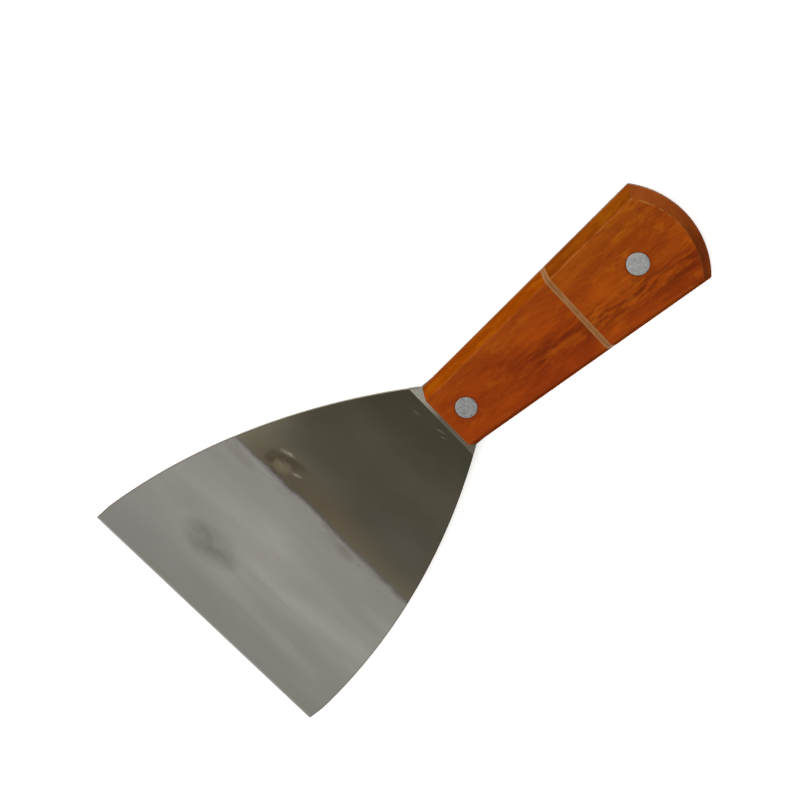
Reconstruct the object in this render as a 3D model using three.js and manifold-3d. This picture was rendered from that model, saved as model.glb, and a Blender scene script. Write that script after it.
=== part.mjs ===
// Wood-handled flat scraper: one steel sheet that is blade and full tang, a wooden scale made of
// two blocks and a pale spacer on each side of the tang, and two pairs of flush cutler's rivets.
// Millimetres. X runs across the blade, Y from the working edge to the butt, Z through the
// thickness. The origin is the centre of the whole tool, in the middle plane of the steel.

import * as THREE from 'three';
import { mergeVertices } from 'three/addons/utils/BufferGeometryUtils.js';
import Module from 'manifold-3d';

// ---------- driving dimensions ----------

const LENGTH = 206;              // working edge to the crown of the butt
const EDGE_Y = -LENGTH / 2;      // the working edge; every *_AT below is measured from it
const EDGE_W = 100;              // width of the working edge

// steel sheet
const TANG_T = 1.1;              // unground steel, under the wood and just in front of it
const BLADE_T = 1.0;             // polished neck of the blade
const EDGE_T = 0.5;              // at the working edge, after the taper grind
const GRIND_AT = 57;             // where the taper grind starts
const POLISH_AT = 109.3;         // where the polished face stops and the unground strip begins
const NECK_AT = 112.5;           // where the flared side arcs end
const NECK_W = 25;
const FLARE_AT = 6.5;            // parallel sides up to here, then the flared arcs
const FLARE_R = 234;             // radius of the blade's curved sides
const MERGE_AT = 118;            // the steel is flush with the wood from here to the butt
const CORNER = 0.4;              // eased corners of the working edge

// handle
const WOOD_AT = 112.6;           // square front end of the scales
const CORNER_AT = 199.4;         // where the straight sides meet the butt arc
const FRONT_W = 24.2;            // handle width at WOOD_AT
const BUTT_W = 36.7;             // handle width at CORNER_AT
const SCALE_T = 6.25;            // each scale
const CHAMFER_IN = 2.6;          // wide chamfer round the outer face, measured across it
const CHAMFER_DOWN = 5.8;        // the same chamfer, measured down the side
const SPACER_AT = 164;           // front face of the pale spacer
const SPACER_L = 1.8;

// cutler's rivets
const RIVETS = { front: 120.4, rear: 187.3 };
const HEAD_R = 3.4;
const HEAD_T = 1.6;
const TUBE_R = 2.2;
const PIN_R = 1.5;
const PIN_SLACK = 0.02;          // between the solid pin and the bore it is pressed into
const HOLE_SLACK = 0.05;         // between a rivet and the wood or steel round it
const SHANK_GAP = 0.25;          // tube mouth to the opposite head
const BORE_CAP = 3.0;            // solid metal left between the blind bore and the head's face

const ROUND = 48;                // segments of a turned piece
const ARC_STEPS = 12;            // segments of a plan arc, each longer than the chamfer is wide
const OVER = 5;                  // how far cutters and blanks run past the piece

const TOP_Z = TANG_T / 2 + SCALE_T;

const COLOURS = {
  steel: { color: 0xa9a7a2, roughness: 0.32, metalness: 1.0 },
  wood: { color: 0x9c4a12, roughness: 0.45, metalness: 0.0 },
  spacer: { color: 0xc9a26e, roughness: 0.5, metalness: 0.0 },
  aluminium: { color: 0x9a9c9c, roughness: 0.5, metalness: 1.0 },
};

// ---------- solids ----------

const wasm = await Module();
wasm.setup();

function toSolid(geometry) {
  const bare = geometry.clone();
  bare.deleteAttribute('normal');
  bare.deleteAttribute('uv');
  const merged = mergeVertices(bare, 1e-5);
  return new wasm.Manifold(new wasm.Mesh({
    numProp: 3,
    vertProperties: new Float32Array(merged.attributes.position.array),
    triVerts: new Uint32Array(merged.index.array),
  }));
}

function toGeometry(solid) {
  const mesh = solid.getMesh();
  const geometry = new THREE.BufferGeometry();
  geometry.setAttribute('position', new THREE.BufferAttribute(mesh.vertProperties, 3));
  geometry.setIndex(new THREE.BufferAttribute(mesh.triVerts, 1));
  const flat = geometry.toNonIndexed();
  flat.computeVertexNormals();
  return flat;
}

// A box given by its two opposite corners.
function block(low, high) {
  const size = high.map((value, i) => value - low[i]);
  const centre = high.map((value, i) => (value + low[i]) / 2);
  return toSolid(new THREE.BoxGeometry(...size).translate(...centre));
}

// A slab between two stations along the tool, wide and deep enough to cut anything.
function between(fromY, toY, lowZ, highZ) {
  return block([-EDGE_W, EDGE_Y + fromY, lowZ], [EDGE_W, EDGE_Y + toY, highZ]);
}

// A body turned about a vertical axis on the centre line, from [radius, z] points.
function turned(points, at) {
  const profile = points.map(([radius, z]) => new THREE.Vector2(radius, z));
  const geometry = new THREE.LatheGeometry(profile, ROUND);
  geometry.rotateX(Math.PI / 2);
  geometry.translate(0, EDGE_Y + at, 0);
  return toSolid(geometry);
}

// ---------- plan outlines ----------

function handleHalfWidth(at) {
  const slope = (BUTT_W - FRONT_W) / 2 / (CORNER_AT - WOOD_AT);
  return FRONT_W / 2 + slope * (at - WOOD_AT);
}

// Runs a path on to the right-hand butt corner and round the butt arc.
function addButtArc(path) {
  const half = handleHalfWidth(CORNER_AT);
  const rise = LENGTH - CORNER_AT;
  const radius = (half * half + rise * rise) / (2 * rise);
  const swing = Math.asin(half / radius);
  path.absarc(0, EDGE_Y + LENGTH - radius, radius, Math.PI / 2 - swing, Math.PI / 2 + swing, false);
}

function handleOutline() {
  const outline = new THREE.Shape();
  const startAt = WOOD_AT - OVER;
  outline.moveTo(-handleHalfWidth(startAt), EDGE_Y + startAt);
  outline.lineTo(handleHalfWidth(startAt), EDGE_Y + startAt);
  addButtArc(outline);
  outline.closePath();
  return outline;
}

// Centre and angles of the arc from the parallel side to the neck, on the right-hand side.
function flareArc() {
  const start = new THREE.Vector2(EDGE_W / 2, EDGE_Y + FLARE_AT);
  const end = new THREE.Vector2(NECK_W / 2, EDGE_Y + NECK_AT);
  const chord = end.clone().sub(start);
  const reach = Math.sqrt(FLARE_R ** 2 - chord.lengthSq() / 4);
  const inward = new THREE.Vector2(-chord.y, chord.x).normalize().multiplyScalar(reach);
  const centre = start.clone().add(end).multiplyScalar(0.5).add(inward);
  return {
    centre,
    from: start.clone().sub(centre).angle(),
    to: end.clone().sub(centre).angle(),
  };
}

function steelOutline() {
  const { centre, from, to } = flareArc();
  const half = EDGE_W / 2;
  const outline = new THREE.Shape();
  outline.moveTo(-half + CORNER, EDGE_Y);
  outline.lineTo(half - CORNER, EDGE_Y);
  outline.lineTo(half, EDGE_Y + CORNER);
  outline.absarc(centre.x, centre.y, FLARE_R, from, to, false);
  outline.lineTo(handleHalfWidth(MERGE_AT), EDGE_Y + MERGE_AT);
  addButtArc(outline);
  outline.lineTo(-handleHalfWidth(MERGE_AT), EDGE_Y + MERGE_AT);
  outline.absarc(-centre.x, centre.y, FLARE_R, Math.PI - to, Math.PI - from, false);
  outline.lineTo(-half, EDGE_Y + CORNER);
  outline.closePath();
  return outline;
}

// ---------- steel ----------

// Side view of the sheet: thin edge, taper grind, polished neck, unground strip and tang.
function steelProfile() {
  const upper = [
    [0, EDGE_T / 2],
    [GRIND_AT, BLADE_T / 2],
    [POLISH_AT, BLADE_T / 2],
    [POLISH_AT, TANG_T / 2],
    [LENGTH + OVER, TANG_T / 2],
  ];
  const lower = upper.map(([at, z]) => [at, -z]).reverse();
  const points = [...upper, ...lower].map(([at, z]) => new THREE.Vector2(EDGE_Y + at, z));
  const profile = new THREE.Shape(points);
  const geometry = new THREE.ExtrudeGeometry(profile, { depth: 2 * EDGE_W, bevelEnabled: false });
  geometry.translate(0, 0, -EDGE_W);
  // profile x -> Y, profile y -> Z, extrusion -> X
  const toYZX = new THREE.Matrix4().set(0, 0, 1, 0, 1, 0, 0, 0, 0, 1, 0, 0, 0, 0, 0, 1);
  return toSolid(geometry.applyMatrix4(toYZX));
}

function blade() {
  const plan = new THREE.ExtrudeGeometry(steelOutline(), {
    depth: 2 * TANG_T,
    bevelEnabled: false,
    curveSegments: ARC_STEPS,
  });
  let sheet = toSolid(plan.translate(0, 0, -TANG_T)).intersect(steelProfile());
  for (const at of Object.values(RIVETS)) {
    sheet = sheet.subtract(shankHole(at));
  }
  return sheet;
}

// ---------- handle ----------

// The whole upper scale before it is cut into blocks: flat inside, chamfered outside.
function scaleBlank() {
  const body = new THREE.ExtrudeGeometry(handleOutline(), {
    depth: TOP_Z - CHAMFER_DOWN,
    bevelEnabled: true,
    bevelThickness: CHAMFER_DOWN,
    bevelSize: CHAMFER_IN,
    bevelOffset: -CHAMFER_IN,
    bevelSegments: 1,
    curveSegments: ARC_STEPS,
  });
  return toSolid(body).intersect(between(WOOD_AT, LENGTH + OVER, TANG_T / 2, TOP_Z + OVER));
}

function shankHole(at) {
  const radius = TUBE_R + HOLE_SLACK;
  const reach = TOP_Z + OVER;
  return turned([[0, -reach], [radius, -reach], [radius, reach], [0, reach]], at);
}

function headRecess(at) {
  const radius = HEAD_R + HOLE_SLACK;
  const floor = TOP_Z - HEAD_T;
  return turned([[0, floor], [radius, floor], [radius, TOP_Z + OVER], [0, TOP_Z + OVER]], at);
}

function scaleBlock(fromAt, toAt, rivetAt) {
  return scaleBlank()
    .intersect(between(fromAt, toAt, 0, TOP_Z + OVER))
    .subtract(shankHole(rivetAt))
    .subtract(headRecess(rivetAt));
}

function frontBlock() {
  return scaleBlock(WOOD_AT, SPACER_AT, RIVETS.front);
}

function rearBlock() {
  return scaleBlock(SPACER_AT + SPACER_L, LENGTH + OVER, RIVETS.rear);
}

function spacer() {
  return scaleBlank().intersect(between(SPACER_AT, SPACER_AT + SPACER_L, 0, TOP_Z + OVER));
}

// ---------- rivets ----------

// Upper half: flush head with a tube that runs down through the handle, blind bore inside.
function rivetTube(at) {
  const mouth = -(TOP_Z - HEAD_T) + SHANK_GAP;
  const boreEnd = TOP_Z - BORE_CAP;
  return turned([
    [0, boreEnd],
    [PIN_R, boreEnd],
    [PIN_R, mouth],
    [TUBE_R, mouth],
    [TUBE_R, TOP_Z - HEAD_T],
    [HEAD_R, TOP_Z - HEAD_T],
    [HEAD_R, TOP_Z],
    [0, TOP_Z],
  ], at);
}

// Lower half: the same flush head with a solid pin pressed up into the tube.
function rivetPin(at) {
  const radius = PIN_R - PIN_SLACK;
  const tip = TOP_Z - BORE_CAP - PIN_SLACK;
  const shoulder = -(TOP_Z - HEAD_T);
  return turned([
    [0, -TOP_Z],
    [HEAD_R, -TOP_Z],
    [HEAD_R, shoulder],
    [radius, shoulder],
    [radius, tip],
    [0, tip],
  ], at);
}

// ---------- assembly ----------

function mesh(name, geometry, finish) {
  const material = new THREE.MeshStandardMaterial(COLOURS[finish]);
  const node = new THREE.Mesh(geometry, material);
  node.name = name;
  return node;
}

// The same piece on the other side of the tang: a half turn about the tool's length.
function underneath(geometry) {
  return geometry.clone().scale(-1, 1, -1);
}

function build() {
  const tool = new THREE.Group();
  tool.name = 'flat_scraper';
  tool.add(mesh('blade', toGeometry(blade()), 'steel'));

  const handle = {
    scale_front: [frontBlock(), 'wood'],
    spacer: [spacer(), 'spacer'],
    scale_rear: [rearBlock(), 'wood'],
  };
  for (const [name, [solid, finish]] of Object.entries(handle)) {
    const upper = toGeometry(solid);
    tool.add(mesh(`${name}_upper`, upper, finish));
    tool.add(mesh(`${name}_lower`, underneath(upper), finish));
  }

  for (const [name, at] of Object.entries(RIVETS)) {
    tool.add(mesh(`rivet_${name}_tube`, toGeometry(rivetTube(at)), 'aluminium'));
    tool.add(mesh(`rivet_${name}_pin`, toGeometry(rivetPin(at)), 'aluminium'));
  }
  return tool;
}

export default build();
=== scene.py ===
"""Wood-handled flat scraper: the visual model, its materials, the light and the camera.

Lengths are written in millimetres and turned into metres by MM. X runs across the blade, Y from
the working edge to the butt, Z through the thickness, with the origin in the middle of the tool.
"""
import math

import bmesh
import bpy
from mathutils import Matrix, Vector


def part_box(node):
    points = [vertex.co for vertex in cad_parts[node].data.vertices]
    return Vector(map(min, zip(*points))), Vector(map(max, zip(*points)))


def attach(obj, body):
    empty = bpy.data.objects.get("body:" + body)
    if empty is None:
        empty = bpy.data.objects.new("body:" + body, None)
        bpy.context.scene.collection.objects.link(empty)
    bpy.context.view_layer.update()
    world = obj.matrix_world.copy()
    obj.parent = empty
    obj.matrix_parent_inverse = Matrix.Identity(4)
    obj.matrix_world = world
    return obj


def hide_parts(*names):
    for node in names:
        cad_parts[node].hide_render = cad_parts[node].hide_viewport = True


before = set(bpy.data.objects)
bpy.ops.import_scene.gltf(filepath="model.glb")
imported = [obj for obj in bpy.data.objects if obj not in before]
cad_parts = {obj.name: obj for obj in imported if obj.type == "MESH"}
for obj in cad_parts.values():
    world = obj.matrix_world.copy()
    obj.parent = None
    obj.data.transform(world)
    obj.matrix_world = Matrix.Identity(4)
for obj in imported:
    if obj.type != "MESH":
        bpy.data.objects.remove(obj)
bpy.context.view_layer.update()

MM = 0.001

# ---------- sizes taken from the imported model, in millimetres ----------

BLADE_LOW, BLADE_HIGH = (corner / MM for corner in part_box("blade"))
WOOD_LOW, WOOD_HIGH = (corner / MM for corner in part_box("scale_front_upper"))
SPACER_LOW, SPACER_HIGH = (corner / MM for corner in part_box("spacer_upper"))

EDGE_Y = BLADE_LOW.y
BUTT_Y = BLADE_HIGH.y
EDGE_HALF = BLADE_HIGH.x
TANG_Z = BLADE_HIGH.z
WOOD_Y = WOOD_LOW.y
TOP_Z = WOOD_HIGH.z
HEAD_R = (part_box("rivet_front_tube")[1] / MM).x


def centre_y(node):
    low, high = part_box(node)
    return (low.y + high.y) / 2 / MM


RIVET_Y = {"front": centre_y("rivet_front_tube"), "rear": centre_y("rivet_rear_tube")}

# ---------- sizes that the boxes don't give, the same as the CAD model's ----------

FLARE_R = 234.0                       # the blade's flared sides, from FLARE_Y to the neck
FLARE_Y = EDGE_Y + 6.5
NECK_Y, NECK_HALF = EDGE_Y + 112.5, 12.5
MERGE_Y = EDGE_Y + 118.0              # steel flush with the wood from here on
GRIND_Y = EDGE_Y + 57.0
POLISH_Y = EDGE_Y + 109.3
CORNER_R = 0.4                        # corners of the working edge
EDGE_Z, NECK_Z = 0.25, 0.5            # half thickness at the edge and at the polished neck
CORNER_Y = EDGE_Y + 199.4             # butt corners of the handle
FRONT_HALF, BUTT_HALF = 12.1, 18.35
CHAMFER_IN, CHAMFER_DOWN = 2.6, 5.8
HEAD_T, TUBE_R, PIN_R = 1.6, 2.2, 1.5
BORE_CAP, SHANK_GAP = 3.0, 0.25
SHANK_SLACK, PIN_SLACK = 0.05, 0.02   # round the shank in its holes, round the pin in the tube
HOLE_SLACK, HOLE_EASE = 0.04, 0.05    # round the head, and the eased mouth of its hole
HEAD_DROP, HEAD_EASE = 0.015, 0.14    # the head's face below the wood, and its rounded rim
STEP_L, STEP_SLOPE = 0.12, 0.5        # the step from polished to unground steel
RIM_R = 0.12                          # rounding along the steel's long edges
BEVEL_W = 0.5                         # widest easing of the wood's edges
LOW_SHARE, ARRIS_SHARE = 0.2, 0.6     # of it, along the steel and on the other edges
FLOOR_GAP = 0.05                      # between the handle and the floor

SLOPE = (BUTT_HALF - FRONT_HALF) / (CORNER_Y - WOOD_Y)
BUTT_RISE = BUTT_Y - CORNER_Y
BUTT_R = (BUTT_HALF ** 2 + BUTT_RISE ** 2) / (2 * BUTT_RISE)
BUTT_CENTRE_Y = BUTT_Y - BUTT_R


def flare_centre():
    """Centre of the arc from the parallel side to the neck, on the right-hand side."""
    start = Vector((EDGE_HALF, FLARE_Y))
    end = Vector((NECK_HALF, NECK_Y))
    chord = end - start
    reach = math.sqrt(FLARE_R ** 2 - chord.length_squared / 4)
    return (start + end) / 2 + Vector((-chord.y, chord.x)).normalized() * reach


FLARE_CENTRE = flare_centre()


# ---------- mesh helpers ----------

def to_object(name, bm, material):
    bmesh.ops.recalc_face_normals(bm, faces=bm.faces)
    for vertex in bm.verts:
        vertex.co *= MM
    mesh = bpy.data.meshes.new(name)
    bm.to_mesh(mesh)
    bm.free()
    mesh.materials.append(material)
    piece = bpy.data.objects.new(name, mesh)
    bpy.context.scene.collection.objects.link(piece)
    return piece


def apply_modifiers(piece):
    depsgraph = bpy.context.evaluated_depsgraph_get()
    mesh = bpy.data.meshes.new_from_object(piece.evaluated_get(depsgraph))
    old = piece.data
    piece.modifiers.clear()
    piece.data = mesh
    bpy.data.meshes.remove(old)


def smooth(piece, angle):
    """Smooth shading with edges sharper than angle, in degrees, kept crisp."""
    mesh = piece.data
    mesh.polygons.foreach_set("use_smooth", [True] * len(mesh.polygons))
    mesh.set_sharp_from_angle(angle=math.radians(angle))
    weighted = piece.modifiers.new("normals", "WEIGHTED_NORMAL")
    weighted.keep_sharp = True
    apply_modifiers(piece)


def loft(rings):
    """A closed skin over rings of points that all have the same number of points."""
    bm = bmesh.new()
    rows = [[bm.verts.new(point) for point in ring] for ring in rings]
    count = len(rows[0])
    for lower, upper in zip(rows, rows[1:]):
        for i in range(count):
            j = (i + 1) % count
            bm.faces.new((lower[i], lower[j], upper[j], upper[i]))
    bm.faces.new(rows[0])
    bm.faces.new(rows[-1])
    return bm


def lathe(profile, y, segments=96):
    """A body turned about a vertical axis at y, from (radius, z) points that start and end on it.

    Its points are half a step off the axes, so that no hole meets the steel's centre line at one.
    """
    bm = bmesh.new()
    rows = []
    for radius, z in profile:
        if radius < 1e-6:
            rows.append([bm.verts.new((0, y, z))])
            continue
        angles = [2 * math.pi * (i + 0.5) / segments for i in range(segments)]
        rows.append([bm.verts.new((radius * math.cos(a), y + radius * math.sin(a), z))
                     for a in angles])
    for lower, upper in zip(rows, rows[1:]):
        for i in range(segments):
            j = (i + 1) % segments
            corners = [lower[i % len(lower)], lower[j % len(lower)],
                       upper[j % len(upper)], upper[i % len(upper)]]
            bm.faces.new(list(dict.fromkeys(corners)))
    return bm


def drill(piece, profile, y):
    """Cuts a turned hole out of a piece."""
    cutter = to_object("cutter", lathe(profile, y), piece.data.materials[0])
    cut = piece.modifiers.new("hole", "BOOLEAN")
    cut.operation = "DIFFERENCE"
    cut.solver = "EXACT"
    cut.object = cutter
    apply_modifiers(piece)
    mesh = cutter.data
    bpy.data.objects.remove(cutter)
    bpy.data.meshes.remove(mesh)


# ---------- node helpers ----------

class Surface:
    """A Principled material and short ways to add nodes to it."""

    def __init__(self, name):
        self.material = bpy.data.materials.new(name)
        self.material.use_nodes = True
        self.tree = self.material.node_tree
        self.tree.nodes.clear()
        output = self.tree.nodes.new("ShaderNodeOutputMaterial")
        self.shader = self.tree.nodes.new("ShaderNodeBsdfPrincipled")
        self.tree.links.new(self.shader.outputs[0], output.inputs["Surface"])
        place = self.tree.nodes.new("ShaderNodeTexCoord").outputs["Object"]
        self.place = self.stretch(place, (1 / MM, 1 / MM, 1 / MM))
        split = self.node("ShaderNodeSeparateXYZ", {0: self.place})
        self.x, self.y, self.z = split.outputs

    def set(self, target, key, value):
        socket = target.inputs[key]
        if isinstance(value, bpy.types.NodeSocket):
            self.tree.links.new(value, socket)
        else:
            socket.default_value = value

    def node(self, kind, inputs, **settings):
        made = self.tree.nodes.new(kind)
        for key, value in settings.items():
            setattr(made, key, value)
        for key, value in inputs.items():
            self.set(made, key, value)
        return made

    def math(self, operation, *values):
        return self.node("ShaderNodeMath", dict(enumerate(values)), operation=operation).outputs[0]

    def stretch(self, vector, scale, offset=(0, 0, 0), turn=0.0):
        """The same place in stretched, shifted and turned coordinates."""
        inputs = {"Vector": vector, "Scale": scale, "Location": offset,
                  "Rotation": (0, 0, math.radians(turn))}
        return self.node("ShaderNodeMapping", inputs).outputs[0]

    def noise(self, scale, offset=(0, 0, 0), detail=3.0, roughness=0.55, distortion=0.0, turn=0.0,
              place=None):
        """Noise whose features are about 1 / scale millimetres along each axis."""
        vector = self.stretch(place or self.place, scale, offset, turn)
        inputs = {"Vector": vector, "Scale": 1.0, "Detail": detail, "Roughness": roughness,
                  "Distortion": distortion}
        return self.node("ShaderNodeTexNoise", inputs).outputs["Fac"]

    def step(self, value, start, end, low=0.0, high=1.0):
        """low up to start, high from end on, and a smooth passage between."""
        inputs = {"Value": value, "From Min": start, "From Max": end, "To Min": low, "To Max": high}
        made = self.node("ShaderNodeMapRange", inputs, interpolation_type="SMOOTHSTEP")
        return made.outputs[0]

    def mix(self, factor, first, second, blend="MIX"):
        made = self.node("ShaderNodeMix", {}, data_type="RGBA", blend_type=blend)
        sockets = {socket.identifier: socket for socket in made.inputs}
        for name, value in (("Factor_Float", factor), ("A_Color", first), ("B_Color", second)):
            if isinstance(value, bpy.types.NodeSocket):
                self.tree.links.new(value, sockets[name])
            else:
                sockets[name].default_value = value if name == "Factor_Float" else (*value, 1)
        return next(s for s in made.outputs if s.identifier == "Result_Color")

    def ramp(self, factor, stops):
        made = self.node("ShaderNodeValToRGB", {0: factor})
        elements = made.color_ramp.elements
        while len(elements) < len(stops):
            elements.new(0.5)
        for element, (position, colour) in zip(elements, stops):
            element.position = position
            element.color = (*colour, 1)
        return made.outputs[0]

    def blob(self, x, y, half_x, half_y, turn=0.0):
        """1 at a point of the blade, falling to 0 at half_x and half_y along its turned axes."""
        shift_x, shift_y = self.math("SUBTRACT", self.x, x), self.math("SUBTRACT", self.y, y)
        cos, sin = math.cos(math.radians(turn)), math.sin(math.radians(turn))
        dx = self.math("ADD", self.math("MULTIPLY", shift_x, cos / half_x),
                       self.math("MULTIPLY", shift_y, sin / half_x))
        dy = self.math("SUBTRACT", self.math("MULTIPLY", shift_y, cos / half_y),
                       self.math("MULTIPLY", shift_x, sin / half_y))
        square = self.math("ADD", self.math("MULTIPLY", dx, dx), self.math("MULTIPLY", dy, dy))
        return self.step(square, 0.0, 1.0, 1.0, 0.0)

    def bump(self, height, distance, strength=1.0):
        inputs = {"Height": height, "Distance": distance * MM, "Strength": strength}
        self.set(self.shader, "Normal", self.node("ShaderNodeBump", inputs).outputs[0])


# ---------- materials ----------

def steel():
    """Satin taper grind, polished neck, matt unground strip and sheared edges, on one sheet."""
    s = Surface("steel")
    # grinding lines run across the blade, parallel to the working edge
    fine = s.noise((0.05, 6.0, 1.0), detail=2.0)
    broad = s.noise((0.02, 0.35, 1.0), (3, 1, 0), detail=4.0, distortion=0.4)
    cloud = s.noise((0.03, 0.06, 0.05), (11, 7, 0), detail=3.0)
    soft = s.noise((0.02, 0.11, 1.0), (7, 3, 0), detail=3.0, distortion=0.6)
    wander = s.noise((0.05, 0.05, 0.05), (5, 2, 0), detail=4.0, roughness=0.6)
    boundary = s.math("ADD", s.y, s.math("MULTIPLY", s.math("SUBTRACT", wander, 0.5), 4.0))
    neck = s.step(boundary, GRIND_Y - 1.7, GRIND_Y + 0.9)
    matt = s.step(s.y, POLISH_Y - 0.1, POLISH_Y + 0.1)
    scratch_a = s.step(s.noise((2.6, 0.12, 1), (2, 9, 0), detail=1.0, turn=38), 0.80, 0.84)
    scratch_b = s.step(s.noise((2.2, 0.15, 1), (8, 4, 0), detail=1.0, turn=-62), 0.81, 0.85)
    scratch = s.math("MULTIPLY", s.math("MAXIMUM", scratch_a, scratch_b),
                     s.step(neck, 0, 1, 1.0, 0.0))
    blotch = s.noise((0.12, 0.2, 1.0), (4, 8, 0), detail=4.0, roughness=0.6)
    streaky = s.noise((0.6, 1.6, 1.0), (6, 3, 0), detail=3.0, roughness=0.6)
    smudge = s.math("MULTIPLY", s.blob(-18.5, EDGE_Y + 22.3, 14, 7),
                    s.step(blotch, 0.25, 0.65, 0.3, 1.0))

    lines = s.math("ADD", s.math("MULTIPLY", broad, 0.15), s.math("MULTIPLY", soft, 0.75))
    satin = s.ramp(s.math("ADD", lines, s.math("MULTIPLY", fine, 0.1)),
                   [(0.3, (0.318, 0.303, 0.277)), (0.7, (0.37, 0.354, 0.327))])
    # painted shade: darker towards the working edge, towards the neck and on the left
    near_edge = s.step(s.y, EDGE_Y, EDGE_Y + 34, 0.65, 0.0)
    satin = s.mix(near_edge, satin, (0.2, 0.189, 0.174))
    near_neck = s.step(s.y, EDGE_Y + 38, EDGE_Y + 50, 0.0, 0.3)
    satin = s.mix(near_neck, satin, (0.2, 0.19, 0.174))
    left = s.step(s.x, -48, 0, 0.55, 0.0)
    satin = s.mix(left, satin, (0.185, 0.177, 0.165))
    satin = s.mix(s.math("MULTIPLY", smudge, 0.65), satin, (0.14, 0.14, 0.115))
    # two faint stains and one dark speck just in front of the neck
    spots = s.math("MAXIMUM", s.blob(12.6, EDGE_Y + 54.2, 5.0, 2.2),
                   s.blob(-34, EDGE_Y + 53, 9, 2.5))
    satin = s.mix(s.math("MULTIPLY", spots, 0.3), satin, (0.17, 0.15, 0.13))
    speck = s.blob(18.75, EDGE_Y + 54.5, 0.7, 0.5)
    satin = s.mix(s.math("MULTIPLY", speck, 0.5), satin, (0.10, 0.095, 0.085))
    # brownish smears that creep a few millimetres out of the polished neck
    creep = s.math("MULTIPLY", s.step(boundary, GRIND_Y - 5.5, GRIND_Y - 0.5),
                   s.step(s.noise((0.1, 0.3, 1.0), (1, 5, 0), detail=4.0, roughness=0.65), 0.45, 0.65))
    satin = s.mix(s.math("MULTIPLY", creep, 0.4), satin, (0.16, 0.145, 0.125))
    # the polished neck mirrors a dim ceiling; painted shade darkens it towards the wood, on the right
    # near the grind and on the left, and it is warmer along the grind
    polished = s.ramp(cloud, [(0.3, (0.357, 0.334, 0.25)), (0.7, (0.383, 0.35, 0.269))])
    back = s.step(s.y, GRIND_Y + 25, POLISH_Y, 0.0, 0.5)
    polished = s.mix(back, polished, (0.187, 0.174, 0.112))
    right = s.math("MULTIPLY", s.step(s.x, -30, 35), s.step(s.y, GRIND_Y + 40, GRIND_Y, 0.0, 0.85))
    polished = s.mix(right, polished, (0.235, 0.21, 0.165))
    dim = s.math("MULTIPLY", s.step(s.x, -30, -5, 0.75, 0.0), s.step(s.y, GRIND_Y + 8, GRIND_Y + 24))
    polished = s.mix(dim, polished, (0.182, 0.165, 0.113))
    tint = s.math("MULTIPLY", s.step(s.y, GRIND_Y + 14, GRIND_Y - 2, 0.0, 0.9),
                  s.step(s.x, -2, 26, 0.95, 0.3))
    tint = s.math("MULTIPLY", tint, s.step(s.x, -34, -25, 0.5, 1.0))
    polished = s.mix(tint, polished, (0.37, 0.296, 0.193))
    # a shallow dent just behind the grind, drawn in colour: painted shade for its dark hooked crease,
    # a painted pale reflection inside and painted highlights on its two lips
    painted_dent_shade = s.math("MAXIMUM", s.blob(-22.0, EDGE_Y + 63.4, 8.0, 2.1, 17),
                    s.blob(-27.0, EDGE_Y + 60.6, 2.6, 3.4))
    pitted = s.noise((1.3, 2.2, 1.0), (9, 2, 0), detail=4.0, roughness=0.7)
    painted_dent_shade = s.math("MULTIPLY", painted_dent_shade, s.step(pitted, 0.35, 0.6, 0.25, 1.0))
    painted_dent_reflection = s.math("MULTIPLY", s.blob(-22.2, EDGE_Y + 60.6, 4.2, 3.0, 12),
                  s.step(pitted, 0.35, 0.65, 1.0, 0.3))
    painted_dent_highlights = s.math("MAXIMUM", s.blob(-24.2, EDGE_Y + 65.3, 3.4, 0.9, 15),
                  s.blob(-16.9, EDGE_Y + 61.9, 2.3, 0.8, 20))
    painted_dent_highlights = s.math("MULTIPLY", painted_dent_highlights, s.step(streaky, 0.4, 0.6, 0.45, 1.0))
    polished = s.mix(s.math("MULTIPLY", painted_dent_shade, 0.85), polished, (0.19, 0.145, 0.09))
    polished = s.mix(s.math("MULTIPLY", painted_dent_reflection, 0.55), polished, (0.78, 0.66, 0.46))
    polished = s.mix(s.math("MULTIPLY", painted_dent_highlights, 0.75), polished, (0.95, 0.9, 0.76))
    # three short bright nicks just in front of the wood
    nicks = s.math("MAXIMUM", s.blob(2.2, EDGE_Y + 107.0, 2.4, 0.45, 16),
                   s.blob(-7.3, EDGE_Y + 105.6, 2.0, 0.4, 5))
    nicks = s.math("MAXIMUM", nicks, s.blob(4.2, EDGE_Y + 106.1, 1.2, 0.35, 18))
    nicks = s.math("MULTIPLY", nicks, s.step(streaky, 0.35, 0.6, 0.1, 0.45))
    polished = s.mix(nicks, polished, (0.95, 0.92, 0.88))
    colour = s.mix(s.step(boundary, GRIND_Y - 0.2, GRIND_Y + 1.6), satin, polished)
    # the unground strip: painted light makes its left end pale, painted shade darkens it towards the
    # right
    unground = s.ramp(s.step(s.x, -15, 15), [(0.1, (0.29, 0.28, 0.235)), (0.45, (0.12, 0.108, 0.08))])
    colour = s.mix(matt, colour, unground)
    colour = s.mix(s.math("MULTIPLY", scratch, 0.15), colour, (0.60, 0.58, 0.55))
    # painted highlight along the working edge, and painted shade along the sheared edges of the sides
    # and on the tang
    painted_edge_highlight = s.step(s.y, EDGE_Y + 0.35, EDGE_Y + 0.8, 0.7, 0.0)
    colour = s.mix(painted_edge_highlight, colour, (0.55, 0.54, 0.51))
    along = s.math("SUBTRACT", s.y, FLARE_CENTRE.y)
    arc = s.math("SQRT", s.math("SUBTRACT", FLARE_R ** 2, s.math("MULTIPLY", along, along)))
    side = s.math("MINIMUM", s.math("ADD", arc, FLARE_CENTRE.x), EDGE_HALF)
    gap = s.math("SUBTRACT", side, s.math("ABSOLUTE", s.x))
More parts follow.
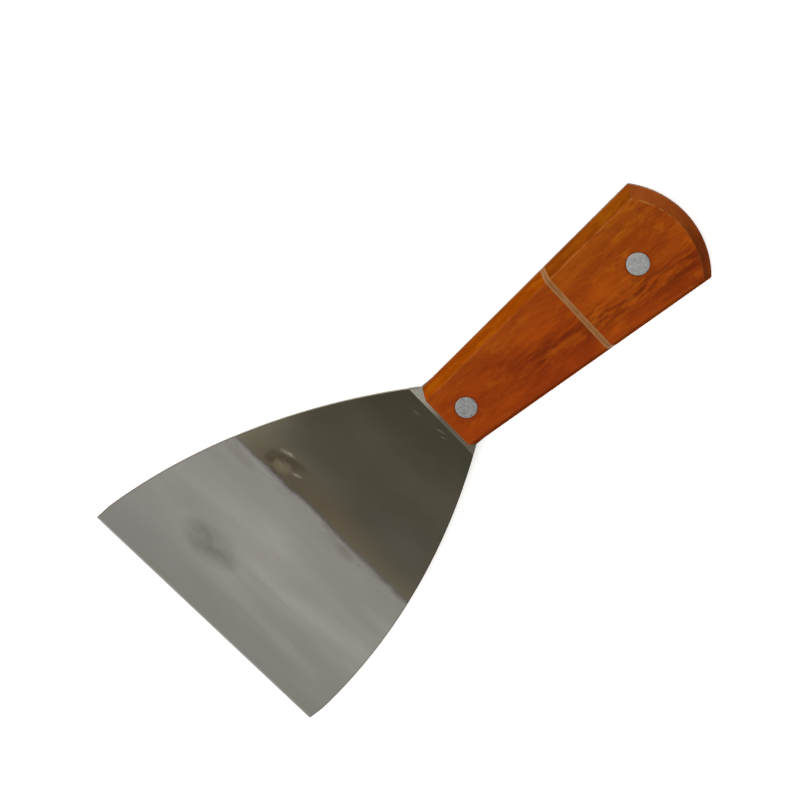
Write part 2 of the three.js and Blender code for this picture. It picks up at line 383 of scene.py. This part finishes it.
    # painted shade along the thin sheared edges of the sides and on the tang
    sheared = s.math("MULTIPLY", s.step(gap, 0.15, 0.5, 0.75, 0.0),
                     s.step(s.y, NECK_Y - 1, NECK_Y, 1.0, 0.0))
    sheared = s.math("MAXIMUM", sheared, s.step(s.y, WOOD_Y - 0.1, WOOD_Y + 0.3, 0.0, 0.75))
    colour = s.mix(sheared, colour, (0.13, 0.115, 0.09))
    s.set(s.shader, "Base Color", colour)

    gloss = s.math("ADD", s.step(soft, 0.3, 0.7, 0.37, 0.43), s.math("MULTIPLY", smudge, -0.04))
    mirror = s.step(cloud, 0.3, 0.7, 0.165, 0.185)
    rough = s.node("ShaderNodeMix", {0: neck, 2: gloss, 3: mirror}, data_type="FLOAT").outputs[0]
    rough = s.node("ShaderNodeMix", {0: matt, 2: rough, 3: 0.6}, data_type="FLOAT").outputs[0]
    rough = s.math("ADD", rough, s.math("MULTIPLY", scratch, 0.12))
    s.set(s.shader, "Roughness", rough)
    s.set(s.shader, "Metallic", 1.0)
    ridges = s.math("MULTIPLY", fine, s.step(neck, 0.0, 1.0, 0.5, 0.1))
    s.bump(s.math("SUBTRACT", ridges, s.math("MULTIPLY", scratch, 0.3)), 0.012, 0.5)
    return s.material


GOLD = (1.12, 1.5, 1.3)               # of the wood's light colour, in its palest patches
RED = (0.5, 0.35, 0.6)                # of the wood's dark colour, in its darkest figure


def wood(name, seed, light, dark):
    """Reddish-brown hardwood under a thin varnish, with its grain along the handle."""
    s = Surface(name)
    away = (seed * 17.3, seed * 41.7, seed * 9.1)
    bend = s.noise((0.05, 0.02, 0.05), away, detail=2.0)
    drift = s.math("MULTIPLY", s.math("SUBTRACT", bend, 0.5), 9.0)
    shifted = s.node("ShaderNodeCombineXYZ",
                     {0: s.math("ADD", s.x, drift), 1: s.y, 2: s.z}).outputs[0]
    figure = s.noise((0.26, 0.05, 0.26), away, detail=5.0, roughness=0.65, distortion=0.8,
                     place=shifted)
    streak = s.noise((1.0, 0.15, 1.0), away, detail=4.0, roughness=0.65, place=shifted)
    fibre = s.noise((4.2, 0.35, 4.2), away, detail=2.0, place=shifted)
    blotch = s.noise((0.07, 0.04, 0.07), away, detail=2.0)
    fleck = s.noise((1.7, 0.32, 1.7), away, detail=2.0, place=shifted)
    patch = s.noise((0.12, 0.07, 0.12), (away[1], away[0], 0), detail=1.0)
    mottle = s.noise((1.5, 0.8, 1.5), (away[2], away[1], 3), detail=4.0, roughness=0.75)

    tone = s.math("ADD", s.math("MULTIPLY", figure, 0.41), s.math("MULTIPLY", streak, 0.15))
    tone = s.math("ADD", tone, s.math("MULTIPLY", blotch, 0.29))
    tone = s.math("ADD", tone, s.math("MULTIPLY", mottle, 0.15))
    colour = s.ramp(tone, [(0.38, dark), (0.5, tuple((a + b) / 2 for a, b in zip(light, dark))),
                           (0.62, light)])
    # darker, redder figure that runs back beside the rear rivet, broken up along the grain
    course = s.math("ADD", s.math("MULTIPLY", s.y, 0.125), -3.0)
    aside = s.math("ABSOLUTE", s.math("SUBTRACT", s.x, course))
    heart = s.math("MULTIPLY", s.step(aside, 0.5, 6.0, 1.0, 0.0), s.step(s.y, 28, 50))
    heart = s.math("MULTIPLY", heart, s.step(s.math("ADD", figure, streak), 0.9, 1.15, 0.95, 0.1))
    colour = s.mix(s.math("MULTIPLY", heart, 0.68), colour, tuple(c * f for c, f in zip(dark, RED)))
    warm = s.noise((0.3, 0.1, 0.3), (away[2], away[0], away[1]), detail=4.0, roughness=0.65)
    gold = tuple(c * f for c, f in zip(light, GOLD))
    colour = s.mix(s.step(warm, 0.5, 0.68, 0.0, 0.5), colour, gold)
    marks = s.math("MULTIPLY", s.step(fleck, 0.58, 0.70), s.step(patch, 0.46, 0.62))
    colour = s.mix(s.math("MULTIPLY", marks, 0.36), colour, tuple(0.25 * c for c in dark))
    pores = s.step(fibre, 0.62, 0.75)
    colour = s.mix(s.math("MULTIPLY", pores, 0.2), colour, tuple(0.45 * c for c in dark))

    # more golden towards one side of the tool, redder towards the other
    golden = s.mix(1.0, colour, (1.0, 1.22, 1.3), blend="MULTIPLY")
    red = s.mix(1.0, colour, (0.85, 0.69, 0.9), blend="MULTIPLY")
    colour = s.mix(s.step(s.x, -12, -4, 0.8, 0.0), colour, golden)
    colour = s.mix(s.step(s.x, 2, 14, 0.0, 0.8), colour, red)

    # how far a point lies outside the arris between the flat face and the chamfer
    reach = s.math("SUBTRACT", s.math("ABSOLUTE", s.x),
                   s.math("ADD", s.math("MULTIPLY", s.y, SLOPE),
                          FRONT_HALF - SLOPE * WOOD_Y - CHAMFER_IN))
    behind = s.math("SUBTRACT", s.y, BUTT_CENTRE_Y)
    radial = s.math("SQRT", s.math("ADD", s.math("MULTIPLY", s.x, s.x),
                                   s.math("MULTIPLY", behind, behind)))
    crown = s.math("SUBTRACT", radial, BUTT_R - CHAMFER_IN)
    crown = s.math("ADD", crown, s.step(behind, 0.0, 1.0, -50.0, 0.0))

    # painted shade darkens the chamfers, and the end grain of the butt most of all
    sides = s.step(reach, -0.15, 0.15)
    # painted shade on the left chamfer, lighter on the front block than on the rear; the right chamfer
    # is shaded darker
    left_chamfer_shade = s.mix(s.step(s.y, SPACER_LOW.y, SPACER_HIGH.y), (0.97, 1.06, 0.9), (0.69, 0.71, 1.0))
    shade = s.mix(s.step(s.x, -1, 1), left_chamfer_shade, (0.68, 0.74, 0.8))
    colour = s.mix(sides, colour, s.mix(1.0, colour, shade, blend="MULTIPLY"))
    butt = s.step(s.math("SUBTRACT", crown, s.math("MAXIMUM", reach, 0.0)), -0.15, 0.15)
    # painted shade, darker still, just outside the arris on the butt's right
    inner = s.math("MULTIPLY", s.step(crown, 0.7, 1.7, 1.0, 0.0), s.step(s.x, -4, 7))
    shade = s.mix(s.step(s.x, -12, 8), (0.85, 0.8, 0.8), (0.68, 0.66, 0.7))
    shade = s.mix(inner, shade, (0.45, 0.38, 0.4))
    # painted shade greys the butt towards a dull brown, darker on its right
    greyed_butt_shade = s.mix(s.step(s.x, -12, 8), (0.25, 0.062, 0.014), (0.135, 0.032, 0.009))
    butt_wood = s.mix(0.5, s.mix(1.0, colour, shade, blend="MULTIPLY"), greyed_butt_shade)
    colour = s.mix(butt, colour, butt_wood)

    # paler line along the arris: partly worn varnish, partly a painted highlight, kept mostly to the
    # left
    line = s.math("ABSOLUTE", s.math("MAXIMUM", reach, crown))
    wear_and_highlight = s.step(line, 0.04, 0.24, 1.0, 0.0)
    wear_and_highlight = s.math("MULTIPLY", wear_and_highlight, s.step(crown, -1.5, -0.3, 0.45, 1.0))
    wear_and_highlight = s.math("MULTIPLY", wear_and_highlight, s.step(s.y, SPACER_LOW.y, SPACER_HIGH.y, 0.35, 1.0))
    wear_and_highlight = s.math("MULTIPLY", wear_and_highlight, s.step(s.math("ABSOLUTE", s.z), TOP_Z - 0.9, TOP_Z - 0.4))
    wear_and_highlight = s.math("MULTIPLY", wear_and_highlight, s.step(s.noise((0.5, 0.3, 0.5), away), 0.42, 0.62, 0.0, 0.8))
    wear_and_highlight = s.math("MULTIPLY", wear_and_highlight, s.step(s.x, -9, 7, 1.0, 0.08))
    colour = s.mix(wear_and_highlight, colour, (0.36, 0.14, 0.035))

    # varnish gathers dark where the wood meets each rivet head
    for y in RIVET_Y.values():
        along = s.math("SUBTRACT", s.y, y)
        away_from = s.math("SQRT", s.math("ADD", s.math("MULTIPLY", s.x, s.x),
                                          s.math("MULTIPLY", along, along)))
        ring = s.step(away_from, HEAD_R + 0.1, HEAD_R + 0.7, 0.35, 0.0)
        colour = s.mix(ring, colour, tuple(0.3 * c for c in dark))
    s.set(s.shader, "Base Color", colour)
    s.set(s.shader, "Roughness", s.step(streak, 0.3, 0.7, 0.42, 0.55))
    # the flat faces are varnished, the chamfers are rubbed dry
    dry = s.math("MAXIMUM", sides, butt)
    s.set(s.shader, "Coat Weight", s.step(dry, 0.0, 1.0, 0.05, 0.0))
    s.set(s.shader, "Coat Roughness", 0.2)
    s.set(s.shader, "Specular IOR Level", s.step(dry, 0.0, 1.0, 0.04, 0.0))
    relief = s.math("SUBTRACT", s.math("MULTIPLY", fibre, 0.6), s.math("MULTIPLY", marks, 0.5))
    s.bump(relief, 0.05, 0.35)
    return s.material


def pale_wood():
    """The thin strip between the blocks: pale wood with a darker heart line."""
    s = Surface("spacer")
    grain = s.noise((0.5, 3.0, 1.5), (4, 4, 4), detail=4.0)
    colour = s.ramp(grain, [(0.3, (0.184, 0.079, 0.0245)), (0.7, (0.276, 0.127, 0.049))])
    middle = (SPACER_LOW.y + SPACER_HIGH.y) / 2
    aside = s.math("ABSOLUTE", s.math("SUBTRACT", s.y, middle))
    heart = s.step(aside, 0.15, 0.5, 0.6, 0.0)
    heart = s.math("MULTIPLY", heart, s.step(s.noise((0.15, 0.2, 0.3), (1, 6, 2)), 0.35, 0.65))
    colour = s.mix(heart, colour, (0.13, 0.042, 0.012))
    s.set(s.shader, "Base Color", colour)
    s.set(s.shader, "Roughness", s.step(grain, 0.3, 0.7, 0.45, 0.55))
    s.set(s.shader, "Specular IOR Level", 0.02)
    s.bump(grain, 0.03, 0.3)
    return s.material


def sanded_aluminium():
    """Rivet heads sanded level with the wood: matt grey with fine marks and small pits."""
    s = Surface("aluminium")
    marks = s.noise((7.0, 0.8, 1.0), (2, 3, 0), detail=3.0, turn=12)
    mottle = s.noise((0.9, 0.9, 0.9), (5, 5, 5), detail=6.0, roughness=0.8)
    pits = s.step(s.noise((3.2, 3.2, 3.2), (9, 1, 4), detail=1.0), 0.66, 0.74)
    tone = s.math("ADD", s.math("MULTIPLY", marks, 0.3), s.math("MULTIPLY", mottle, 0.7))
    colour = s.ramp(tone, [(0.38, (0.145, 0.148, 0.143)), (0.62, (0.375, 0.38, 0.37))])
    colour = s.mix(s.math("MULTIPLY", pits, 0.35), colour, (0.13, 0.13, 0.135))
    colour = s.mix(s.step(s.y, 30, 80, 0.0, 0.16), colour, (0.60, 0.61, 0.62))
    s.set(s.shader, "Base Color", colour)
    s.set(s.shader, "Metallic", 1.0)
    s.set(s.shader, "Roughness", s.step(mottle, 0.3, 0.7, 0.5, 0.66))
    s.bump(s.math("SUBTRACT", tone, s.math("MULTIPLY", pits, 0.6)), 0.02, 0.5)
    return s.material


# ---------- the steel ----------

def handle_half(y):
    return FRONT_HALF + SLOPE * (y - WOOD_Y)


def sheet_half(y):
    """Half the width of the steel at y."""
    if y < EDGE_Y + CORNER_R:
        short = EDGE_Y + CORNER_R - y
        return EDGE_HALF - CORNER_R + math.sqrt(max(CORNER_R ** 2 - short ** 2, 0.0))
    if y <= FLARE_Y:
        return EDGE_HALF
    if y <= NECK_Y:
        return FLARE_CENTRE.x + math.sqrt(FLARE_R ** 2 - (y - FLARE_CENTRE.y) ** 2)
    if y <= MERGE_Y:
        share = (y - NECK_Y) / (MERGE_Y - NECK_Y)
        return NECK_HALF + (handle_half(MERGE_Y) - NECK_HALF) * share
    if y <= CORNER_Y:
        return handle_half(y)
    return math.sqrt(max(BUTT_R ** 2 - (y - BUTT_CENTRE_Y) ** 2, 0.0))


def sheet_z(y):
    """Half the thickness of the steel at y."""
    if y < GRIND_Y:
        share = (y - EDGE_Y) / (GRIND_Y - EDGE_Y)
        return EDGE_Z + (NECK_Z - EDGE_Z) * math.sin(share * math.pi / 2) ** 0.9
    if y < POLISH_Y:
        return NECK_Z
    return min(TANG_Z, NECK_Z + (y - POLISH_Y) * STEP_SLOPE)


def spread(start, end, count):
    return [start + (end - start) * i / count for i in range(count)]


def sheet_stations():
    """Where the steel's sections lie along the tool, closest at its corners and steps."""
    corner = [EDGE_Y + CORNER_R * (1 - math.cos(math.pi / 2 * i / 5)) for i in range(5)]
    stations = corner + spread(EDGE_Y + CORNER_R, FLARE_Y, 4)
    stations += spread(FLARE_Y, GRIND_Y, 38) + spread(GRIND_Y, POLISH_Y, 36)
    stations += spread(POLISH_Y, POLISH_Y + STEP_L, 3) + spread(POLISH_Y + STEP_L, NECK_Y, 6)
    stations += spread(NECK_Y, MERGE_Y, 6) + spread(MERGE_Y, CORNER_Y, 40)
    swing = math.asin(BUTT_HALF / BUTT_R)
    arc = [BUTT_CENTRE_Y + BUTT_R * math.cos(swing * (1 - i / 24)) for i in range(24)]
    return stations + arc + [BUTT_Y - 0.002]


def sheet_ring(y, columns=24, bend=4):
    """The section of the steel at y: flat faces and slightly rounded long edges."""
    half, thick = sheet_half(y), sheet_z(y)
    radius = min(RIM_R, thick * 0.6, half * 0.5)
    inner = half - radius
    top = [(inner * (2 * i / columns - 1), thick) for i in range(columns + 1)]
    turn = [math.pi / 2 * i / bend for i in range(1, bend)]
    upper = [(inner + radius * math.sin(a), thick - radius + radius * math.cos(a)) for a in turn]
    upper.append((half, thick - radius))
    side = upper + [(x, -z) for x, z in reversed(upper)]
    section = top + side + [(-x, -z) for x, z in top + side]
    return [(x, y, z) for x, z in section]


def make_blade(material):
    piece = to_object("steel_blade", loft([sheet_ring(y) for y in sheet_stations()]), material)
    for y in RIVET_Y.values():
        radius = TUBE_R + SHANK_SLACK
        drill(piece, [(0, -3), (radius, -3), (radius, 3), (0, 3)], y)
    smooth(piece, 35)
    return piece


# ---------- the wood ----------

def scale_ring(inset, z, side_steps=30, arc_steps=48):
    """The handle's plan outline, inset from its sides and butt but not from its front end."""
    lean = math.sqrt(1 + SLOPE ** 2)
    base = FRONT_HALF - SLOPE * WOOD_Y - inset * lean
    radius = BUTT_R - inset
    # where the inset side meets the inset butt arc
    a = 1 + SLOPE ** 2
    b = 2 * (SLOPE * base - BUTT_CENTRE_Y)
    c = base ** 2 + BUTT_CENTRE_Y ** 2 - radius ** 2
    corner_y = (-b + math.sqrt(b * b - 4 * a * c)) / (2 * a)
    side = [(base + SLOPE * y, y) for y in spread(WOOD_Y, corner_y, side_steps)]
    swing = math.asin((base + SLOPE * corner_y) / radius)
    arc = []
    for i in range(arc_steps + 1):
        angle = swing * (1 - 2 * i / arc_steps)
        arc.append((radius * math.sin(angle), BUTT_CENTRE_Y + radius * math.cos(angle)))
    left = [(-x, y) for x, y in reversed(side)]
    return [(x, y, z) for x, y in side + arc + left]


def scale_blank():
    """The upper scale in one piece, with eased edges, before it is cut into its blocks."""
    knee = TOP_Z - CHAMFER_DOWN
    # the chamfer is a little full in its middle
    layers = [
        (0, TANG_Z),
        (0, knee),
        (CHAMFER_IN * 0.46, knee + CHAMFER_DOWN * 0.54),
        (CHAMFER_IN, TOP_Z),
    ]
    bm = loft([scale_ring(inset, z) for inset, z in layers])
    bmesh.ops.recalc_face_normals(bm, faces=bm.faces)
    weights = bm.edges.layers.float.new("bevel_weight_edge")
    for edge in bm.edges:
        if len(edge.link_faces) != 2 or edge.calc_face_angle(0) < math.radians(20):
            continue
        low = max(vertex.co.z for vertex in edge.verts) < TANG_Z + 0.01
        edge[weights] = LOW_SHARE if low else ARRIS_SHARE
    return bm


def cut_between(bm, start, end):
    """Keeps what lies between two stations along the handle and closes the cut ends."""
    for y, normal in ((start, -1), (end, 1)):
        if y is None:
            continue
        everything = bm.verts[:] + bm.edges[:] + bm.faces[:]
        cut = bmesh.ops.bisect_plane(bm, geom=everything, plane_co=(0, y * MM, 0),
                                     plane_no=(0, normal, 0), clear_outer=True, dist=1e-8)
        rim = [part for part in cut["geom_cut"] if isinstance(part, bmesh.types.BMEdge)]
        bmesh.ops.contextual_create(bm, geom=rim)
    bmesh.ops.recalc_face_normals(bm, faces=bm.faces)


def make_handle(materials):
    """All the blocks and spacers. The lower ones are the upper ones, half a turn round."""
    blank = to_object("blank", scale_blank(), materials["spacer"])
    bevel = blank.modifiers.new("ease", "BEVEL")
    bevel.limit_method = "WEIGHT"
    bevel.width = BEVEL_W * MM
    bevel.segments = 4
    apply_modifiers(blank)
    stretches = {
        "scale_front": (None, SPACER_LOW.y, "front"),
        "spacer": (SPACER_LOW.y, SPACER_HIGH.y, None),
        "scale_rear": (SPACER_HIGH.y, None, "rear"),
    }
    pieces = {}
    for name, (start, end, rivet) in stretches.items():
        for side in ("upper", "lower"):
            node = f"{name}_{side}"
            bm = bmesh.new()
            bm.from_mesh(blank.data)
            cut_between(bm, start, end)
            mesh = bpy.data.meshes.new(node)
            bm.to_mesh(mesh)
            bm.free()
            mesh.materials.clear()
            mesh.materials.append(materials[node if rivet else "spacer"])
            piece = bpy.data.objects.new(f"fine_{node}", mesh)
            bpy.context.scene.collection.objects.link(piece)
            if rivet:
                floor, hole, shank = TOP_Z - HEAD_T, HEAD_R + HOLE_SLACK, TUBE_R + SHANK_SLACK
                drill(piece, [(0, -1), (shank, -1), (shank, floor), (hole, floor),
                              (hole, TOP_Z - HOLE_EASE), (hole + HOLE_EASE, TOP_Z + 0.01),
                              (hole + HOLE_EASE, TOP_Z + 2), (0, TOP_Z + 2)], RIVET_Y[rivet])
            if side == "lower":
                piece.data.transform(Matrix.Diagonal((-1, 1, -1, 1)))
            smooth(piece, 30)
            pieces[node] = piece
    mesh = blank.data
    bpy.data.objects.remove(blank)
    bpy.data.meshes.remove(mesh)
    return pieces


# ---------- the rivets ----------

def head_profile(reach):
    """Rim of a flush head, from its face to its underside; reach is +1 for the upper head."""
    face = TOP_Z - HEAD_DROP
    rim = [(HEAD_R - HEAD_EASE + HEAD_EASE * math.sin(math.pi / 2 * i / 5),
            face - HEAD_EASE + HEAD_EASE * math.cos(math.pi / 2 * i / 5)) for i in range(6)]
    points = [(0, face), (HEAD_R * 0.5, face)] + rim + [(HEAD_R, TOP_Z - HEAD_T)]
    return [(radius, reach * z) for radius, z in points]


def make_rivet(name, y, material):
    under = TOP_Z - HEAD_T
    mouth = -under + SHANK_GAP
    bore_end = TOP_Z - BORE_CAP
    tube = head_profile(1) + [(TUBE_R, under), (TUBE_R, mouth), (PIN_R, mouth), (PIN_R, bore_end),
                              (0, bore_end)]
    pin_r, tip = PIN_R - PIN_SLACK, bore_end - PIN_SLACK
    pin = head_profile(-1) + [(pin_r, -under), (pin_r, tip), (0, tip)]
    pieces = {}
    for part, profile in (("tube", tube), ("pin", pin)):
        piece = to_object(f"fine_rivet_{name}_{part}", lathe(profile, y), material)
        smooth(piece, 35)
        pieces[f"rivet_{name}_{part}"] = piece
    return pieces


# ---------- putting the tool together ----------

# light and dark colour of each block's wood
FRONT_WOOD = (0.268, 0.0417, 0.0012), (0.152, 0.0192, 0.001)
REAR_WOOD = (0.294, 0.054, 0.0015), (0.17, 0.025, 0.001)

MATERIALS = {
    "steel": steel(),
    "spacer": pale_wood(),
    "aluminium": sanded_aluminium(),
    "scale_front_upper": wood("wood_front_upper", 1.0, *FRONT_WOOD),
    "scale_rear_upper": wood("wood_rear_upper", 2.3, *REAR_WOOD),
    "scale_front_lower": wood("wood_front_lower", 3.7, *FRONT_WOOD),
    "scale_rear_lower": wood("wood_rear_lower", 5.1, *REAR_WOOD),
}

PIECES = {"blade": make_blade(MATERIALS["steel"])}
PIECES.update(make_handle(MATERIALS))
for rivet, rivet_y in RIVET_Y.items():
    PIECES.update(make_rivet(rivet, rivet_y, MATERIALS["aluminium"]))

for node, piece in PIECES.items():
    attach(piece, "root")
    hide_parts(node)


# ---------- floor, light and camera ----------

FLOOR_R = 500.0                       # in millimetres, so it ends before it turns grey
FLOOR_GLOW = 0.4                      # lifts the floor to white and keeps its shadows faint


def make_floor():
    surface = Surface("floor")
    surface.set(surface.shader, "Base Color", (0.96, 0.96, 0.955, 1))
    surface.set(surface.shader, "Roughness", 0.9)
    surface.set(surface.shader, "Emission Color", (1.0, 1.0, 1.0, 1))
    surface.set(surface.shader, "Emission Strength", FLOOR_GLOW)
    bm = bmesh.new()
    bmesh.ops.create_circle(bm, cap_ends=True, segments=96, radius=FLOOR_R)
    for vertex in bm.verts:
        vertex.co.z = -TOP_Z - FLOOR_GAP
    floor = to_object("studio_floor", bm, surface.material)


def make_world():
    """Pale studio walls under a darker ceiling."""
    world = bpy.data.worlds.new("studio")
    bpy.context.scene.world = world
    world.use_nodes = True
    tree = world.node_tree
    tree.nodes.clear()
    place = tree.nodes.new("ShaderNodeTexCoord")
    split = tree.nodes.new("ShaderNodeSeparateXYZ")
    fall = tree.nodes.new("ShaderNodeMapRange")
    fall.interpolation_type = "SMOOTHSTEP"
    ramp = tree.nodes.new("ShaderNodeValToRGB")
    background = tree.nodes.new("ShaderNodeBackground")
    output = tree.nodes.new("ShaderNodeOutputWorld")
    for name, value in (("From Min", 0.25), ("From Max", 0.75), ("To Min", 0.0), ("To Max", 1.0)):
        fall.inputs[name].default_value = value
    ramp.color_ramp.elements[0].color = (1.0, 1.0, 1.0, 1)
    ramp.color_ramp.elements[1].color = (0.12, 0.115, 0.10, 1)
    tree.links.new(place.outputs["Generated"], split.inputs[0])
    tree.links.new(split.outputs["Z"], fall.inputs["Value"])
    tree.links.new(fall.outputs[0], ramp.inputs[0])
    tree.links.new(ramp.outputs[0], background.inputs["Color"])
    tree.links.new(background.outputs[0], output.inputs["Surface"])


def make_light(name, place, size, power):
    """A square softbox at place, in metres, that faces the middle of the tool."""
    light = bpy.data.lights.new(name, "AREA")
    light.shape = "SQUARE"
    light.size = size
    light.energy = power
    lamp = bpy.data.objects.new(name, light)
    lamp.location = place
    lamp.rotation_euler = (-Vector(place)).to_track_quat("-Z", "Y").to_euler()
    bpy.context.scene.collection.objects.link(lamp)


CAMERA_AT = Vector((-0.09144, 0.14495, 0.39035))      # in metres
AIM_AT = Vector((-0.01365, 0.00151, 0.0))             # a point in the steel's middle plane
CAMERA_ROLL = -49.392                                 # in degrees
LENS = 61.907                                         # in millimetres, with the sensor's width
SENSOR_W = 36.0


def make_camera():
    camera = bpy.data.cameras.new("camera")
    camera.lens = LENS
    camera.sensor_width = SENSOR_W
    camera.clip_start = 0.01
    camera.clip_end = 20.0
    holder = bpy.data.objects.new("camera", camera)
    forward = (AIM_AT - CAMERA_AT).normalized()
    # +Y, the way to the butt, appears turned by this much from straight up
    up = Matrix.Rotation(math.radians(CAMERA_ROLL), 3, forward) @ Vector((0, 1, 0))
    side = forward.cross(up).normalized()
    rows = (side, side.cross(forward), -forward)
    holder.matrix_world = Matrix.Translation(CAMERA_AT) @ Matrix(rows).transposed().to_4x4()
    bpy.context.scene.collection.objects.link(holder)
    bpy.context.scene.camera = holder


make_floor()
make_world()
make_light("key", (-0.62, -0.12, 0.85), 1.4, 15)
make_light("front", (0.35, -1.0, 0.55), 1.4, 4)
make_light("side", (0.9, 0.2, 0.7), 1.5, 5)
make_camera()
bpy.context.scene.view_settings.view_transform = "Standard"
